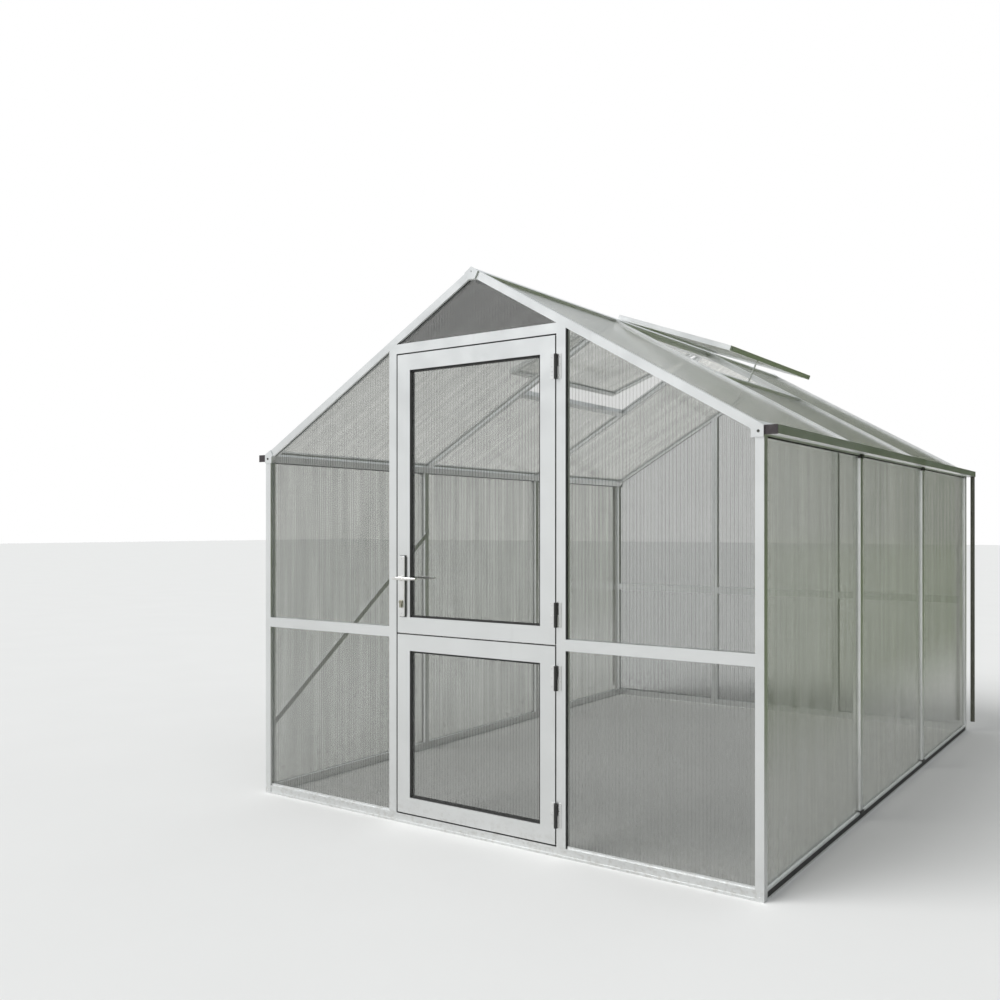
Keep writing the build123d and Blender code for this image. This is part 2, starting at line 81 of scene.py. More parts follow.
class Across(Enum):
    """Direction in which the flutes of a sheet follow each other."""

    X = "X"
    Y = "Y"

    @property
    def stretch(self) -> tuple[float, float, float]:
        """Factors that draw a noise out along the flutes."""
        return (1.0, 0.3, 0.04) if self is Across.X else (0.04, 1.0, 0.04)


def shaded(colour: Colour, factor: float) -> Colour:
    """The colour, darker by a factor."""
    return tuple(factor * c for c in colour[:3]) + (1.0,)


def make_mesh(name: str, bm: BMesh) -> bpy.types.Mesh:
    """Turns a bmesh into a mesh.

    Args:
        name: Name of the mesh.
        bm: The bmesh. It is freed.

    Returns:
        The new mesh.
    """
    mesh = bpy.data.meshes.new(name)
    bm.to_mesh(mesh)
    bm.free()
    return mesh


def add_object(name: str, data: bpy.types.ID) -> bpy.types.Object:
    """Adds an object to the scene.

    Args:
        name: Name of the object.
        data: Its mesh, lamp or camera.

    Returns:
        The new object.
    """
    obj = bpy.data.objects.new(name, data)
    bpy.context.scene.collection.objects.link(obj)
    return obj


class Nodes:
    """A node tree of a material or the world while it is put together."""

    def __init__(self, tree: bpy.types.NodeTree) -> None:
        """Empties the tree.

        Args:
            tree: The tree to fill.
        """
        self.tree = tree
        self.tree.nodes.clear()
        self.coordinates = self.add("ShaderNodeTexCoord")

    def add(self, kind: str, inputs: dict | None = None, **settings: object) -> Node:
        """Adds one node.

        Args:
            kind: Type of the node.
            inputs: Values or sockets for its inputs, by name or number.
            settings: Properties of the node.

        Returns:
            The new node.
        """
        node = self.tree.nodes.new(kind)
        for key, value in settings.items():
            setattr(node, key, value)
        for key, value in (inputs or {}).items():
            if isinstance(value, Socket):
                self.tree.links.new(value, node.inputs[key])
            else:
                node.inputs[key].default_value = value
        return node

    def ramp(self, value: Socket, low: float, high: float, start: float = 0.0, stop: float = 1.0) -> Socket:
        """Smooth step from one value to another.

        Args:
            value: Socket to read.
            low: Where the step begins.
            high: Where it ends.
            start: Result at low.
            stop: Result at high.

        Returns:
            The stepped value.
        """
        inputs = {"Value": value, "From Min": low, "From Max": high, "To Min": start, "To Max": stop}
        return self.add("ShaderNodeMapRange", inputs, interpolation_type="SMOOTHSTEP").outputs["Result"]

    def math(self, operation: str, a: Socket | float, b: Socket | float = 0.0) -> Socket:
        """Result of one Math node on a and b."""
        return self.add("ShaderNodeMath", {0: a, 1: b}, operation=operation).outputs[0]

    def blend(self, share: Socket | float, first: Socket | Colour, second: Socket | Colour) -> Socket:
        """Colour between the first and the second, by share."""
        inputs = {"Factor": share, 6: first, 7: second}
        return self.add("ShaderNodeMix", inputs, data_type="RGBA").outputs[2]

    def mix(self, share: Socket | float, first: Node, second: Node) -> Node:
        """Shader between the first and the second, by share."""
        return self.add("ShaderNodeMixShader", {0: share, 1: first.outputs[0], 2: second.outputs[0]})

    def part(self, vector: Socket, axis: str) -> Socket:
        """One coordinate of a vector."""
        return self.add("ShaderNodeSeparateXYZ", {0: vector}).outputs[axis]


class Shader(Nodes):
    """A node material while it is put together."""

    def __init__(self, name: str) -> None:
        """Starts an empty material.

        Args:
            name: Name of the material.
        """
        self.material = bpy.data.materials.new(name)
        self.material.use_nodes = True
        super().__init__(self.material.node_tree)
        self.place = self.coordinates.outputs["Object"]

    def noise(self, scale: float, detail: float = 4.0, stretch: Sequence[float] = (1, 1, 1)) -> Socket:
        """Noise on Object coordinates.

        Args:
            scale: Cells to the metre.
            detail: Octaves.
            stretch: Factors on the three axes.

        Returns:
            The noise value, from 0 to 1.
        """
        place = self.add("ShaderNodeMapping", {"Vector": self.place, "Scale": tuple(stretch)})
        inputs = {"Vector": place.outputs[0], "Scale": scale, "Detail": detail}
        return self.add("ShaderNodeTexNoise", inputs).outputs["Fac"]

    def bump(self, height: Socket, distance: float, strength: float = 1.0) -> Socket:
        """Normal bent by a height, whose full step is distance in metres."""
        inputs = {"Height": height, "Distance": distance, "Strength": strength}
        return self.add("ShaderNodeBump", inputs).outputs["Normal"]

    def finish(self, surface: Node) -> Material:
        """Connects the surface and returns the material."""
        self.add("ShaderNodeOutputMaterial", {"Surface": surface.outputs[0]})
        return self.material

    def solid(self, colour: Socket, rough: Socket, normal: Socket, metal: Socket | float = 0.0) -> Material:
        """Finishes an opaque surface and returns the material."""
        inputs = {"Base Color": colour, "Metallic": metal, "Roughness": rough, "Normal": normal}
        return self.finish(self.add("ShaderNodeBsdfPrincipled", inputs))


@dataclass(frozen=True)
class Finish(ABC):
    """A surface finish that is built once and shared by its pieces."""

    name: str

    @abstractmethod
    def build(self) -> Material:
        """Makes the node material."""

    def material(self) -> Material:
        """Returns the material, built on first use."""
        return bpy.data.materials.get(self.name) or self.build()


@dataclass(frozen=True)
class SatinMetal(Finish):
    """Satin aluminium of the frame, with faint clouds, dust near the ground and a fine drawn surface."""

    colour: Colour
    metal: float = 0.90
    dust: Colour = (0.36, 0.33, 0.28, 1.0)
    roughness: float = 0.34
    dust_height: float = 0.14

    def build(self) -> Material:
        """Makes the node material.

        Returns:
            The new material.
        """
        s = Shader(self.name)
        clouds = s.ramp(s.noise(3.0), 0.35, 0.75, 0.0, 0.5)
        coat = s.blend(clouds, self.colour, shaded(self.colour, 0.88))
        low = s.ramp(s.part(s.place, "Z"), 0.0, self.dust_height, 0.30, 0.0)
        specks = s.ramp(s.noise(55.0, 6.0), 0.45, 0.70)
        dusty = s.blend(s.math("MULTIPLY", low, specks), coat, self.dust)
        marks = s.ramp(s.noise(18.0, 5.0, (1.0, 1.0, 0.15)), 0.62, 0.80, 0.0, 0.12)
        colour = s.blend(marks, dusty, self.dust)
        rough = s.ramp(s.noise(9.0), 0.3, 0.7, self.roughness - 0.05, self.roughness + 0.07)
        return s.solid(colour, rough, s.bump(s.noise(700.0, 2.0), 0.00005, 0.4), self.metal)


@dataclass(frozen=True)
class BareMetal(Finish):
    """Drawn metal with fine lines along its length."""

    colour: Colour
    grain: Sequence[float] = (1.0, 1.0, 1.0)
    roughness: float = 0.35

    def build(self) -> Material:
        """Makes the node material.

        Returns:
            The new material.
        """
        s = Shader(self.name)
        lines = s.noise(220.0, 4.0, self.grain)
        colour = s.blend(s.ramp(lines, 0.35, 0.7), self.colour, shaded(self.colour, 0.7))
        rough = s.ramp(lines, 0.3, 0.7, self.roughness - 0.08, self.roughness + 0.12)
        return s.solid(colour, rough, s.bump(lines, 0.00005, 0.6), 1.0)


@dataclass(frozen=True)
class Plastic(Finish):
    """Moulded plastic or rubber with a fine grain and a little dust."""

    colour: Colour
    dust: Colour = (0.30, 0.29, 0.27, 1.0)
    roughness: float = 0.5
    dustiness: float = 0.25

    def build(self) -> Material:
        """Makes the node material.

        Returns:
            The new material.
        """
        s = Shader(self.name)
        dusty = s.ramp(s.noise(30.0, 5.0), 0.50, 0.85, 0.0, self.dustiness)
        colour = s.blend(dusty, self.colour, self.dust)
        rough = s.ramp(s.noise(60.0), 0.3, 0.7, self.roughness - 0.08, self.roughness + 0.15)
        return s.solid(colour, rough, s.bump(s.noise(1500.0, 2.0), 0.00004, 0.6))


@dataclass(frozen=True)
class PaintedShadeFitting(Finish):
    """Metal fitting with a part coloured near black as painted shade, told apart by a place on the fitting."""

    metal: Colour = (0.74, 0.74, 0.73, 1.0)
    # Near-black colour of the painted shade.
    dark: Colour = (0.020, 0.019, 0.018, 1.0)
    roughness: float = 0.32

    @abstractmethod
    def painted_shade_part(self, s: Shader) -> Socket:
        """Share of the painted shade, 0 or 1, at each point."""

    def build(self) -> Material:
        """Makes the node material.

        Returns:
            The new material.
        """
        s = Shader(self.name)
        part = self.painted_shade_part(s)
        wear = s.ramp(s.noise(40.0, 5.0), 0.45, 0.8, 0.0, 0.35)
        bright = s.blend(wear, self.metal, shaded(self.metal, 0.78))
        # Painted shade: the marked part is coloured near black.
        colour = s.blend(part, bright, self.dark)
        bare = s.math("SUBTRACT", 1.0, part)
        rough = s.ramp(s.noise(60.0), 0.3, 0.7, self.roughness - 0.05, self.roughness + 0.12)
        return s.solid(colour, rough, s.bump(s.noise(900.0, 2.0), 0.00004, 0.5), bare)


@dataclass(frozen=True)
class HingeFinish(PaintedShadeFitting):
    """Metal flaps, with the barrel coloured near black all round as painted shade."""

    axis_x: float = 0.0
    axis_y: float = 0.0
    shade_radius: float = 7.9 * MM

    def painted_shade_part(self, s: Shader) -> Socket:
        """The points that lie within the painted shade's radius of the hinge axis.

        Args:
            s: The material's tree.

        Returns:
            1 on the painted shade, 0 elsewhere.
        """
        dx = s.math("SUBTRACT", s.part(s.place, "X"), self.axis_x)
        dy = s.math("SUBTRACT", s.part(s.place, "Y"), self.axis_y)
        square = s.math("ADD", s.math("MULTIPLY", dx, dx), s.math("MULTIPLY", dy, dy))
        # Painted shade: the barrel all round, out to this radius.
        return s.math("LESS_THAN", square, self.shade_radius ** 2)


@dataclass(frozen=True)
class PlateFinish(PaintedShadeFitting):
    """Handle plate: a metal cover, with the part nearer the leaf coloured near black as painted shade of its
    sides.
    """

    middle_y: float = 0.0
    cover_from: float = 0.0

    def painted_shade_part(self, s: Shader) -> Socket:
        """The points that lie nearer to the leaf than the cover.

        Args:
            s: The material's tree.

        Returns:
            1 on the painted shade, 0 on the cover.
        """
        away = s.math("ABSOLUTE", s.math("SUBTRACT", s.part(s.place, "Y"), self.middle_y))
        # Painted shade: everything nearer the leaf than the cover.
        return s.math("LESS_THAN", away, self.cover_from)


@dataclass(frozen=True)
class TwinWall(Finish):
    """Milky see-through plastic of the fluted sheets, streaked along the flutes and splashed near the ground."""

    across: Across
    tint: Colour = (0.848, 0.851, 0.850, 1.0)
    shadow_tint: Colour = (0.75, 0.75, 0.745, 1.0)
    mirror_tint: Colour = (0.995, 0.995, 0.990, 1.0)
    milk: Colour = (0.80, 0.81, 0.79, 1.0)
    grime: Colour = (0.20, 0.20, 0.13, 1.0)
    cloud: float = 0.03
    uneven: float = 0.25
    rim: float = 0.55
    sheen: float = 0.03

    def build(self) -> Material:
        """Makes the node material.

        Returns:
            The new material.
        """
        s = Shader(self.name)
        fine = s.noise(30.0, 1.0, self.across.stretch)
        streaks = s.ramp(fine, 0.35, 0.70, 1.0 - self.uneven, 1.0 + self.uneven)
        patches = s.ramp(s.noise(1.6, 2.0), 0.30, 0.75, 0.7, 1.35)
        haze = s.math("MULTIPLY", s.math("MULTIPLY", streaks, patches), self.cloud)
        low = s.ramp(s.part(s.place, "Z"), 0.03, 0.42, 1.0, 0.0)
        splash = s.ramp(s.noise(34.0, 2.0), 0.42, 0.75, 0.05, 0.5)
        soil = s.math("MULTIPLY", s.math("MULTIPLY", low, low), splash)
        cover = s.math("ADD", haze, s.math("MULTIPLY", soil, 0.4))
        paint = s.blend(soil, self.milk, self.grime)
        haze_shader = s.add("ShaderNodeBsdfDiffuse", {"Color": paint})
        glow = s.add("ShaderNodeBsdfTranslucent", {"Color": paint})
        clear = s.add("ShaderNodeBsdfTransparent", {"Color": self.tint})
        milky = s.mix(cover, clear, s.mix(0.5, haze_shader, glow))
        gloss = s.add("ShaderNodeBsdfGlossy", {"Color": (1, 1, 1, 1), "Roughness": 0.14})
        facing = s.add("ShaderNodeLayerWeight", {"Blend": 0.5}).outputs["Facing"]
        outside = s.math("SUBTRACT", 1.0, s.add("ShaderNodeNewGeometry").outputs["Backfacing"])
        rim = s.math("ADD", s.math("MULTIPLY", s.math("POWER", facing, 3.0), self.rim), self.sheen)
        rim = s.math("MULTIPLY", rim, outside)
        path = s.add("ShaderNodeLightPath")
        mirrored = path.outputs["Is Glossy Ray"]
        lit = s.math("MAXIMUM", path.outputs["Is Shadow Ray"], path.outputs["Is Diffuse Ray"])
        tint = s.blend(mirrored, self.shadow_tint, self.mirror_tint)
        plain = s.add("ShaderNodeBsdfTransparent", {"Color": tint})
        return s.finish(s.mix(s.math("MAXIMUM", lit, mirrored), s.mix(rim, milky, gloss), plain))


@dataclass(frozen=True)
class FluteWalls(Finish):
    """Clear plastic of the walls inside a fluted sheet, a little darker and cloudier on the ribs."""

    across: Across
    tint: Colour = (0.970, 0.971, 0.968, 1.0)
    rib_tint: Colour = (0.955, 0.955, 0.948, 1.0)
    milk: Colour = (0.80, 0.81, 0.79, 1.0)
    rib_cloud: float = 0.055

    def build(self) -> Material:
        """Makes the node material.

        Returns:
            The new material.
        """
        s = Shader(self.name)
        normal = s.part(s.coordinates.outputs["Normal"], self.across.value)
        rib = s.ramp(s.math("ABSOLUTE", normal), 0.6, 0.9)
        clear = s.add("ShaderNodeBsdfTransparent", {"Color": s.blend(rib, self.tint, self.rib_tint)})
        haze = s.add("ShaderNodeBsdfDiffuse", {"Color": self.milk})
        streaks = s.ramp(s.noise(26.0, 0.0, self.across.stretch), 0.30, 0.70, 0.2, 1.8)
        cover = s.math("MULTIPLY", s.math("MULTIPLY", rib, streaks), self.rib_cloud)
        mirrored = s.add("ShaderNodeLightPath").outputs["Is Glossy Ray"]
        open_way = s.add("ShaderNodeBsdfTransparent", {"Color": (1, 1, 1, 1)})
        return s.finish(s.mix(mirrored, s.mix(cover, clear, haze), open_way))


@dataclass(frozen=True)
class Survey:
    """Lines of the house that new pieces are placed by, read from the frame at rest."""

    half_width: float
    front: float
    back: float
    depth: float
    inner_post: float
    inner_jamb: float
    outer_jamb: float
    base_top: float
    mid_low: float
    mid_high: float
    beam_low: float
    eave: float
    ridge: float
    bite: float
    setback: float
    bays: int = 3

    @classmethod
    def take(cls) -> "Survey":
        """Reads the frame's nodes.

        Returns:
            The survey.
        """
        low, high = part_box("corner_posts")
        rail_low, rail_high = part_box("front_base_rail")
        mid_low, mid_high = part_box("front_mid_rails")
        sheet_low, sheet_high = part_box("front_sheets")
        return cls(half_width=high.x, front=low.y, back=high.y, depth=rail_high.y - rail_low.y,
                   inner_post=rail_high.x, inner_jamb=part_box("door_header")[1].x,
                   outer_jamb=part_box("door_posts")[1].x, base_top=rail_high.z, mid_low=mid_low.z,
                   mid_high=mid_high.z, beam_low=high.z, eave=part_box("gutters")[1].z,
                   ridge=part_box("ridge_beam")[1].z, bite=sheet_high.x - rail_high.x,
                   setback=sheet_low.y - low.y)

    @property
    def gables(self) -> tuple[tuple[float, float], ...]:
        """Outer face of each gable and its way out along Y."""
        return (self.front, -1.0), (self.back, 1.0)

    @property
    def slope(self) -> float:
        """Rise of the roof for each metre across."""
        return (self.ridge - self.eave) / self.half_width

    @property
    def rafter_drop(self) -> float:
        """Height of a rafter, measured straight down."""
        return self.ridge - self.slope * self.inner_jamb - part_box("door_header")[1].z

    def bay_lines(self) -> list[float]:
        """Lists the posts of a long wall.

        Returns:
            Their centres, from front to back.
        """
        first = self.front + self.depth / 2
        step = (self.back - self.front - self.depth) / self.bays
        return [first + step * i for i in range(self.bays + 1)]

    def under_rafter(self, x: float) -> float:
        """Height of the gable rafters' underside at x."""
        return self.ridge - self.slope * abs(x) - self.rafter_drop

    def roof_normal(self) -> Vector:
        """Direction out of the right slope."""
        return Vector((self.slope, 0.0, 1.0)).normalized()

    def down_slope(self) -> Vector:
        """Direction down the right slope."""
        return Vector((1.0, 0.0, -self.slope)).normalized()


@dataclass
class Workshop:
    """Shapes small parts and turns finished bmeshes into pieces that ride on the frame."""

    head_sides: int = 16
    head_taper: float = 0.8
    recess_inset: float = 0.35
    recess_depth: float = 0.5

    def piece(self, name: str, bm: BMesh, finish: Finish, slot: Slot, body: Body,
              replaces: Iterable[str] = (), inner: Finish | None = None) -> bpy.types.Object:
        """Makes one piece.

        Args:
            name: Name of the piece.
            bm: Its shape, in place. It is freed.
            finish: Its finish.
            slot: The record's slot that the finish belongs to. Not used.
            body: The body that it rides on.
            replaces: CAD nodes that it stands for.
            inner: Finish of its faces with material index 1.

        Returns:
            The new object.
        """
        mesh = make_mesh(name, bm)
        mesh.materials.append(finish.material())
        if inner:
            mesh.materials.append(inner.material())
        obj = add_object(name, mesh)
        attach(obj, body.value)
        nodes = tuple(replaces)
        if nodes:
            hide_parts(*nodes)
        log.info("piece %s: %d faces on %s", name, len(mesh.polygons), body.value)
        return obj

    def dress(self, finish: Finish, *nodes: str) -> None:
        """Gives CAD nodes a finish in place of their plain one.

        Args:
            finish: The finish.
            nodes: Names of the nodes.
        """
        for node in nodes:
            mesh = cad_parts[node].data
            mesh.materials.clear()
            mesh.materials.append(finish.material())
            log.info("node %s: %s", node, finish.name)

    def bar(self, bm: BMesh, start: Vector, stop: Vector, out: Vector, width: float,
            thickness: float, edge: float = 0.0) -> None:
        """Adds a straight strip that lies on a surface.

        Args:
            bm: The bmesh that it is added to.
            start: Middle of its foot at one end, on the surface.
            stop: Middle of its foot at the other end.
            out: Direction out of the surface.
            width: Width along the surface.
            thickness: Height over the surface.
            edge: Size of the rounding of its edges.
        """
        along = (stop - start).normalized()
        side = along.cross(out).normalized()
        turn = Matrix((along, side.cross(along), side)).transposed().to_4x4()
        turn.translation = (start + stop) / 2 + out * thickness / 2
        size = Matrix.Diagonal(((stop - start).length, thickness, width, 1.0))
        first = len(bm.edges)
        bmesh.ops.create_cube(bm, size=1.0, matrix=turn @ size)
        if edge:
            bm.edges.ensure_lookup_table()
            bmesh.ops.bevel(bm, geom=bm.edges[first:], offset=edge, offset_type="OFFSET", segments=2,
                            profile=0.5, affect="EDGES", material=-1)

    def screw(self, bm: BMesh, seat: Vector, out: Vector, radius: float, height: float) -> None:
        """Adds a screw head with a round recess.

        Args:
            bm: The bmesh that it is added to.
            seat: Middle of its foot, on the surface.
            out: Direction out of the surface.
            radius: Radius of the head.
            height: Height of the head.
        """
        turn = out.to_track_quat("Z", "Y").to_matrix().to_4x4()
        turn.translation = seat + out * height / 2
        first = len(bm.faces)
        bmesh.ops.create_cone(bm, cap_ends=True, cap_tris=False, segments=self.head_sides, radius1=radius,
                              radius2=self.head_taper * radius, depth=height, matrix=turn)
        bm.faces.ensure_lookup_table()
        top = max(bm.faces[first:], key=lambda f: f.calc_center_median().dot(out))
        bmesh.ops.inset_individual(bm, faces=[top], thickness=self.recess_inset * radius,
                                   depth=-self.recess_depth * height)


@dataclass(frozen=True)
class Panel:
    """One solid sheet of the frame, in the directions of its lay."""

    low: Vector
    high: Vector
    slopes: tuple[tuple[Vector, Vector], ...]

    def top(self, x: float) -> float:
        """Height of the sheet's upper edge at x, under its sloping cuts."""
        cuts = (point.z - normal.x / normal.z * (x - point.x) for point, normal in self.slopes)
        return min([self.high.z, *cuts])


@dataclass
class FlutedSheets:
    """Twin-wall sheets: two skins with a rib between each pair of flutes."""

    shop: Workshop
    survey: Survey
    flute: float = 14.7 * MM
    skin: float = 0.7 * MM
    rib: float = 0.7 * MM
    slack: float = 0.2 * MM
    weld: float = 1e-6
    least_slant: float = 0.2

    def build(self) -> None:
        """Replaces every sheet of the frame."""
        x, y, z = Vector((1, 0, 0)), Vector((0, 1, 0)), Vector((0, 0, 1))
        gable, wall = {0: Matrix((x, y, z))}, {0: Matrix((y, -x, z))}
        slopes = self.slopes(self.survey.roof_normal(), self.survey.down_slope())
        for node, body in (("front_sheets", Body.HOUSE), ("rear_sheets", Body.HOUSE),
                           ("upper_leaf_sheet", Body.UPPER_LEAF), ("lower_leaf_sheet", Body.LOWER_LEAF)):
            self.stand(node, gable, (GABLE_SHEET, GABLE_FLUTES), Slot.SHEET, body)
        self.stand("peak_sheet", gable, (SMOKE_SHEET, SMOKE_FLUTES), Slot.GREY_PANEL, Body.HOUSE)
        for node in ("right_wall_sheets", "left_wall_sheets"):
            self.stand(node, wall, (WALL_SHEET, SIDE_FLUTES), Slot.SHEET, Body.HOUSE)
        for node, lays in (("right_roof_sheets", {0: slopes[1]}), ("left_roof_sheets", {0: slopes[-1]}),
                           ("vent_sheets", self.window_slopes())):
            self.stand(node, lays, (ROOF_SHEET, SIDE_FLUTES), Slot.SHEET, Body.HOUSE)

    def slopes(self, up: Vector, fall: Vector) -> dict[int, Matrix]:
        """Lays of a sheet on the right slope and of its mirror image on the left.

        Args:
            up: Direction out of the right sheet.
            fall: Direction down the right sheet.

        Returns:
            The right lay under 1 and the left one under -1.
        """
        y = Vector((0, 1, 0))
        mirror = Matrix.Diagonal((-1.0, 1.0, 1.0))
        return {1: Matrix((y, -up, -fall)), -1: Matrix((-y, -(mirror @ up), -(mirror @ fall)))}

    def window_slopes(self) -> dict[int, Matrix]:
        """Lays of the roof windows' sheets, which stand open by an angle of their own.

        Returns:
            The right lay under 1 and the left one under -1.
        """
        normals = [f.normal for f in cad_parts["vent_sheets"].data.polygons]
        up = max((n for n in normals if n.x > 0 and n.z > 0), key=lambda n: n.z)
        return self.slopes(up, Vector((up.z, 0.0, -up.x)))

    def stand(self, node: str, lays: dict[int, Matrix], finishes: tuple[Finish, Finish], slot: Slot,
              body: Body) -> None:
        """Replaces the sheets of one node.

        Args:
            node: The CAD node.
            lays: Rows with the directions across the flutes, through the sheet and along the flutes, for
                the solids right (1) or left (-1) of the ridge, or for all of them (0).
            finishes: Their finish outside, and that of the walls of their flutes.
            slot: The record's slot.
            body: The body that they ride on.
        """
        whole = bmesh.new()
        for side, lay in lays.items():
            for panel in self.panels(node, lay, side):
                self.add_slab(whole, panel, lay)
        self.shop.piece(f"{node}_fluted", whole, finishes[0], slot, body, (node,), finishes[1])

    def panels(self, node: str, lay: Matrix, side: int) -> list[Panel]:
        """Reads the solids of a node in the directions of a lay.

        Args:
            node: The CAD node.
            lay: Its directions.
            side: 1 or -1 for the solids right or left of the ridge alone, 0 for all.

        Returns:
            One panel for each solid.
        """
        bm = bmesh.new()
        bm.from_mesh(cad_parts[node].data)
        bmesh.ops.remove_doubles(bm, verts=bm.verts[:], dist=self.weld)
        found = []
        for vert in bm.verts:
            if not vert.tag:
                island = self.island(vert)
                if side * island[0].co.x >= 0.0:
                    found.append(self.panel(island, lay))
        bm.free()
        return found

    def island(self, start: bmesh.types.BMVert) -> list[bmesh.types.BMVert]:
        """Collects and tags the vertices of one solid.

        Args:
            start: Any of them.

        Returns:
            All of them.
        """
        start.tag = True
        island = [start]
        for vert in island:
            for edge in vert.link_edges:
                other = edge.other_vert(vert)
                if not other.tag:
                    other.tag = True
                    island.append(other)
        return island

    def panel(self, island: list[bmesh.types.BMVert], lay: Matrix) -> Panel:
        """Measures one solid.

        Args:
            island: Its vertices.
            lay: Its directions.

        Returns:
            The panel.
        """
        points = [lay @ v.co for v in island]
        low = Vector([min(p[i] for p in points) for i in range(3)])
        high = Vector([max(p[i] for p in points) for i in range(3)])
        slopes = []
        for face in dict.fromkeys(f for v in island for f in v.link_faces):
            normal = lay @ face.normal
            point = lay @ face.verts[0].co
            if abs(normal.x) > self.least_slant and normal.z > self.least_slant:
                if all((p - point).dot(normal) < self.slack for p in points):
                    slopes.append((point, normal))
        return Panel(low, high, tuple(slopes))

    def add_slab(self, whole: BMesh, panel: Panel, lay: Matrix) -> None:
        """Adds one fluted sheet.

        Args:
            whole: The bmesh that it is added to.
            panel: Its size and place.
            lay: Its directions.
        """
        width = panel.high.x - panel.low.x
        count = max(1, round(width / self.flute))
        step = (width - self.rib) / count
        bm = bmesh.new()
        bmesh.ops.create_grid(bm, x_segments=2 * count + 1, y_segments=3, size=0.5)
        depths = (panel.low.y, panel.low.y + self.skin, panel.high.y - self.skin, panel.high.y)
        for vert in bm.verts:
            column = round((vert.co.x + 0.5) * (2 * count + 1))
            row = round((vert.co.y + 0.5) * 3)
            x = panel.low.x + (column // 2) * step + (column % 2) * self.rib
            vert.co = Vector((x, depths[row], panel.low.z))
        cores = [f for f in bm.faces if self.is_core(f, panel)]
        bmesh.ops.delete(bm, geom=cores, context="FACES")
        grown = bmesh.ops.extrude_face_region(bm, geom=bm.faces[:], use_keep_orig=True)["geom"]
        for vert in (v for v in grown if isinstance(v, bmesh.types.BMVert)):
            vert.co.z = panel.top(vert.co.x)
        bmesh.ops.recalc_face_normals(bm, faces=bm.faces[:])
        for face in bm.faces:
            y = face.calc_center_median().y
            face.material_index = int(panel.low.y + self.skin / 2 < y < panel.high.y - self.skin / 2)
        bmesh.ops.transform(bm, matrix=lay.transposed().to_4x4(), verts=bm.verts[:])
        mesh = make_mesh("slab", bm)
        whole.from_mesh(mesh)
        bpy.data.meshes.remove(mesh)

    def is_core(self, face: bmesh.types.BMFace, panel: Panel) -> bool:
        """Tells the hollow of a flute from the plastic round it.

        Args:
            face: A face of the section.
            panel: The sheet.

        Returns:
            True for a hollow.
        """
        middle = face.calc_center_median()
        span = max(v.co.x for v in face.verts) - min(v.co.x for v in face.verts)
        return panel.low.y + self.skin < middle.y < panel.high.y - self.skin and span > 2 * self.rib


@dataclass
class Gaskets:
    """Black rubber strips between the sheets and the sections that hold them."""

    shop: Workshop
    survey: Survey
    width: float = 8.0 * MM
    fixed_width: float = 4.0 * MM
    wall_width: float = 5.0 * MM
    stand: float = 4.0 * MM
    rounding: float = 1.2 * MM

    def build(self) -> None:
        """Makes the strips of both leaves, the gables and the long walls."""
        for body in LEAVES:
            self.leaf(body)
        bm = bmesh.new()
        for face, out in self.survey.gables:
            self.gable(bm, face - out * self.survey.setback, Vector((0.0, out, 0.0)))
        self.walls(bm)
        self.shop.piece("house_gaskets", bm, RUBBER_AND_SHADE, Slot.BLACK_PLASTIC, Body.HOUSE)

    def leaf(self, body: Body) -> None:
        """Makes the ring round a leaf's sheet, outside and inside.

        Args:
            body: The leaf.
        """
        low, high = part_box(f"{body.value}_sheet")
        bite = self.survey.bite
        left, right = low.x + bite, high.x - bite
        bottom, top = low.z + bite, high.z - bite
        half = self.width / 2
        bm = bmesh.new()
        for y, out in ((low.y, Vector((0, -1, 0))), (high.y, Vector((0, 1, 0)))):
            for x in (left + half, right - half):
                self.strip(bm, Vector((x, y, bottom)), Vector((x, y, top)), out, self.width)
            for z in (bottom + half, top - half):
                self.strip(bm, Vector((left, y, z)), Vector((right, y, z)), out, self.width)
        self.shop.piece(f"{body.value}_gaskets", bm, RUBBER_AND_SHADE, Slot.BLACK_PLASTIC, body)

    def strip(self, bm: BMesh, start: Vector, stop: Vector, out: Vector, width: float) -> None:
        """Adds one strip of a width between two points on a surface."""
        self.shop.bar(bm, start, stop, out, width, self.stand, self.rounding)

    def gable(self, bm: BMesh, y: float, out: Vector) -> None:
        """Adds the wedge strips of a gable's fixed sheets, beside the door posts.

        Args:
            bm: The bmesh that they are added to.
            y: Place of the sheets' outer faces.
            out: Direction out of the gable.
        """
        s = self.survey
        x = s.outer_jamb + self.fixed_width / 2
        for side in (-1, 1):
            for low, high in ((s.base_top, s.mid_low), (s.mid_high, s.under_rafter(x))):
                self.strip(bm, Vector((side * x, y, low)), Vector((side * x, y, high)), out, self.fixed_width)

    def walls(self, bm: BMesh) -> None:
        """Adds the wedge strips of the long walls: behind each post and under the eave beams.

        Args:
            bm: The bmesh that they are added to.
        """
        s = self.survey
        half = s.depth / 2
        edge = self.wall_width / 2
        lines = s.bay_lines()
        for side in (-1, 1):
            x = side * (s.half_width - s.setback)
            out = Vector((side, 0.0, 0.0))
            for start, stop in zip(lines, lines[1:]):
                y = start + half + edge
                self.strip(bm, Vector((x, y, s.base_top)), Vector((x, y, s.beam_low)), out, self.wall_width)
                head = s.beam_low - edge
                self.strip(bm, Vector((x, start + half, head)), Vector((x, stop - half, head)), out,
                           self.wall_width)


